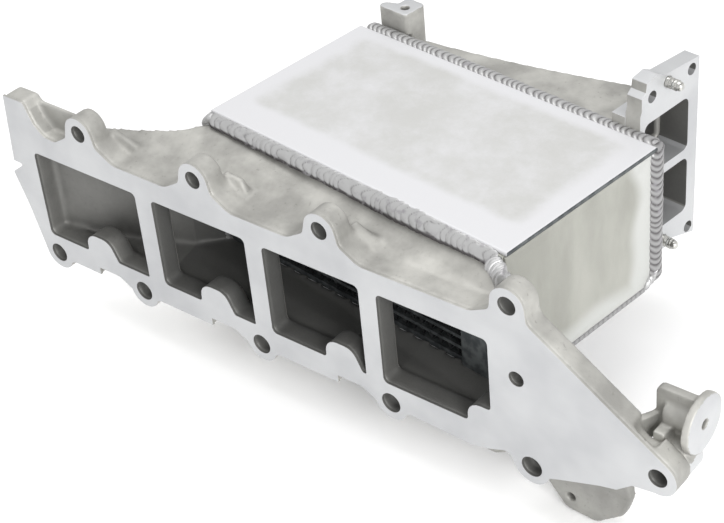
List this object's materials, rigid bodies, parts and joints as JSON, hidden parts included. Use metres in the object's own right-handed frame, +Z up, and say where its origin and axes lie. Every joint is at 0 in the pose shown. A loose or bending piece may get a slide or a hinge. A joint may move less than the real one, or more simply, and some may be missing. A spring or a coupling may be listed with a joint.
{
  "type": "intake manifold",
  "caption": "Welded aluminium intake manifold with a water-cooled charge air cooler between its ported head flange and a side inlet flange.",
  "frame": {"origin": "on the head flange's machined face, at the middle of the web between ports 2 and 3, halfway up the ports", "axes": "+X along the head towards the pointed end of the flange, +Y away from the head into the manifold, +Z up"},
  "size_m": [0.437, 0.2002, 0.1594],
  "materials": {
    "machined_aluminium": "fine milled, bright",
    "cast_aluminium": "as cast, light warm grey",
    "sheet_aluminium": "pickled sheet, pale and matt",
    "weld_aluminium": "rippled weld bead",
    "core_aluminium": "brazed, dull grey",
    "dowel_steel": "ground, bright"
  },
  "bodies": {
    "root": {"head_flange": "machined_aluminium", "inlet_flange": "machined_aluminium", "outlet_plenum": "cast_aluminium", "end_bracket": "cast_aluminium", "lower_lug": "cast_aluminium", "small_lug": "cast_aluminium", "inlet_tank": "cast_aluminium", "tapped_lug": "cast_aluminium", "upper_dowel": "dowel_steel", "lower_dowel": "dowel_steel", "top_plate": "sheet_aluminium", "bottom_plate": "sheet_aluminium", "right_coolant_tank": "sheet_aluminium", "left_coolant_tank": "sheet_aluminium", "coolant_in_spigot": "sheet_aluminium", "coolant_out_spigot": "sheet_aluminium", "right_header_plate": "core_aluminium", "left_header_plate": "core_aluminium", "core_floor_bar": "core_aluminium", "core_roof_bar": "core_aluminium", "front_top_weld": "weld_aluminium", "front_bottom_weld": "weld_aluminium", "front_right_weld": "weld_aluminium", "front_left_weld": "weld_aluminium", "rear_top_weld": "weld_aluminium", "rear_bottom_weld": "weld_aluminium", "rear_right_weld": "weld_aluminium", "rear_left_weld": "weld_aluminium", "spigot_welds": "weld_aluminium", "tube_1": "core_aluminium", "tube_2": "core_aluminium", "tube_3": "core_aluminium", "tube_4": "core_aluminium", "tube_5": "core_aluminium", "tube_6": "core_aluminium", "tube_7": "core_aluminium", "tube_8": "core_aluminium", "tube_9": "core_aluminium", "tube_10": "core_aluminium", "tube_11": "core_aluminium", "fin_row_1": "core_aluminium", "fin_row_2": "core_aluminium", "fin_row_3": "core_aluminium", "fin_row_4": "core_aluminium", "fin_row_5": "core_aluminium", "fin_row_6": "core_aluminium", "fin_row_7": "core_aluminium", "fin_row_8": "core_aluminium", "fin_row_9": "core_aluminium", "fin_row_10": "core_aluminium", "fin_row_11": "core_aluminium", "fin_row_12": "core_aluminium"}
  },
  "joints": []
}
